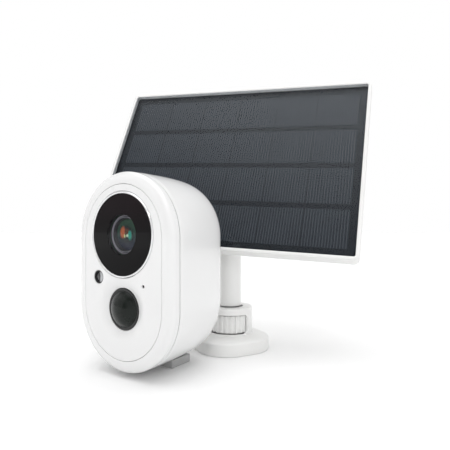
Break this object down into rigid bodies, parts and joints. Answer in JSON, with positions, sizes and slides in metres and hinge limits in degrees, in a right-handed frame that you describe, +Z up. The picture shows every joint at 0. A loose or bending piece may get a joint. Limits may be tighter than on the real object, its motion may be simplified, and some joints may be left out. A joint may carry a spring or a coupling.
{
  "type": "solar-powered security camera",
  "caption": "White battery camera with a round-ended upright body, beside a tilting solar panel on a short swivel stand with a rounded square foot.",
  "frame": {"origin": "centre of the stand base's underside, on the stem's axis", "axes": "+Z up along the stem, +X along the panel's width to its right seen from in front, +Y to the back; the panel's glass faces -Y and up"},
  "size_m": [0.1648, 0.1114, 0.1629],
  "materials": {
    "shell_white": "glossy moulded plastic, very fine moulding texture",
    "face_white": "satin to gloss moulded plastic",
    "panel_white": "satin moulded plastic",
    "stand_white": "satin moulded plastic, slightly soft sheen",
    "flap_rubber": "soft white elastomer, matt",
    "button_rubber": "grey elastomer, matt",
    "foot_grey": "grey elastomer, matt",
    "seal_rubber": "black elastomer, matt",
    "ring_silver": "thin bright plated trim",
    "window_black": "smoked window, polished",
    "lens_glass": "coated optical glass, green and orange reflections",
    "black_plastic": "matt black moulded plastic",
    "sensor_chip": "dark chip under a glass lid",
    "circuit_board": "green solder mask",
    "led_resin": "tinted clear resin",
    "dome_black": "dark moulded dome with a polished face",
    "sensor_can": "plated pressed steel",
    "cell_wrap": "shrink wrap, blue",
    "screw_steel": "plain machined steel",
    "insert_brass": "turned brass",
    "panel_glass": "toughened cover glass, lightly stippled",
    "solar_cells": "slate blue-grey cells with fine silver fingers"
  },
  "bodies": {
    "stand_base": {"wall_plate": "stand_white", "base_housing": "stand_white", "stem_collet": "stand_white"},
    "lock_wheel": {"lock_wheel": "stand_white"},
    "stem": {"swivel_spigot": "screw_steel", "stem": "stand_white", "tilt_bolt": "screw_steel"},
    "tilt_knob": {"tilt_knob": "stand_white"},
    "tilt_head": {"tilt_head": "stand_white"},
    "panel": {"panel_frame": "panel_white", "panel_glass": "panel_glass", "cell_sheet": "solar_cells", "panel_back": "panel_white", "panel_screw_1": "screw_steel", "panel_screw_2": "screw_steel", "panel_screw_3": "screw_steel", "panel_screw_4": "screw_steel", "panel_insert": "insert_brass", "junction_box": "panel_white", "charge_board": "circuit_board", "lead_gland": "seal_rubber"},
    "camera": {"front_shell": "shell_white", "faceplate": "face_white", "shell_gasket": "seal_rubber", "rear_shell": "shell_white", "foot_pad": "foot_grey", "shell_screw_1": "screw_steel", "shell_screw_2": "screw_steel", "shell_screw_3": "screw_steel", "shell_screw_4": "screw_steel", "window_ring": "ring_silver", "window_glass": "window_black", "lens_barrel": "black_plastic", "lens_front": "lens_glass", "lens_rear": "lens_glass", "lens_holder": "black_plastic", "image_sensor": "sensor_chip", "sensor_board": "circuit_board", "infrared_board": "circuit_board", "infrared_led_1": "led_resin", "infrared_led_2": "led_resin", "infrared_led_3": "led_resin", "infrared_led_4": "led_resin", "motion_lens": "dome_black", "motion_sensor": "sensor_can", "light_sensor": "dome_black", "microphone_boot": "seal_rubber", "speaker": "black_plastic", "main_board": "circuit_board", "battery_tray": "black_plastic", "battery_cell_1": "cell_wrap", "battery_cell_2": "cell_wrap", "antenna": "black_plastic", "mount_insert": "insert_brass", "port_board": "circuit_board", "usb_socket": "sensor_can", "card_socket": "sensor_can"},
    "port_flap": {"port_flap": "flap_rubber"},
    "power_button": {"power_button": "button_rubber"},
    "memory_card": {"memory_card": "black_plastic"}
  },
  "joints": [
    {"name": "stand_pan", "type": "hinge", "parent": "stand_base", "child": "stem", "pos_m": [0, 0, 0.03], "axis": [0, 0, 1], "range_deg": [-40, 2]},
    {"name": "lock_wheel_turn", "type": "hinge", "parent": "stand_base", "child": "lock_wheel", "pos_m": [0, 0, 0.015], "axis": [0, 0, 1], "range_deg": [0, 90]},
    {"name": "panel_tilt", "type": "hinge", "parent": "stem", "child": "tilt_head", "pos_m": [0, 0.008, 0.067], "axis": [1, 0, 0], "range_deg": [-60, 7]},
    {"name": "panel_roll", "type": "hinge", "parent": "tilt_head", "child": "panel", "pos_m": [0, 0.008, 0.067], "axis": [0, -0.9107, 0.4131], "range_deg": [-10, 5]},
    {"name": "tilt_knob_turn", "type": "hinge", "parent": "stem", "child": "tilt_knob", "pos_m": [0, 0.008, 0.067], "axis": [1, 0, 0], "range_deg": [0, 180]},
    {"name": "camera_lift", "type": "slide", "parent": "stand_base", "child": "camera", "axis": [0, 0, 1], "range_m": [0, 0.12]},
    {"name": "port_flap_open", "type": "hinge", "parent": "camera", "child": "port_flap", "pos_m": [-0.02162, -0.02301, 0.015], "axis": [-0.9641, 0.2656, 0], "range_deg": [0, 95]},
    {"name": "power_button_press", "type": "slide", "parent": "camera", "child": "power_button", "axis": [-0.2656, -0.9641, 0], "range_m": [0, 0.0008], "stiffness_N_per_m": 500},
    {"name": "memory_card_slide", "type": "slide", "parent": "camera", "child": "memory_card", "axis": [0.2656, 0.9641, 0], "range_m": [0, 0.0025]}
  ]
}
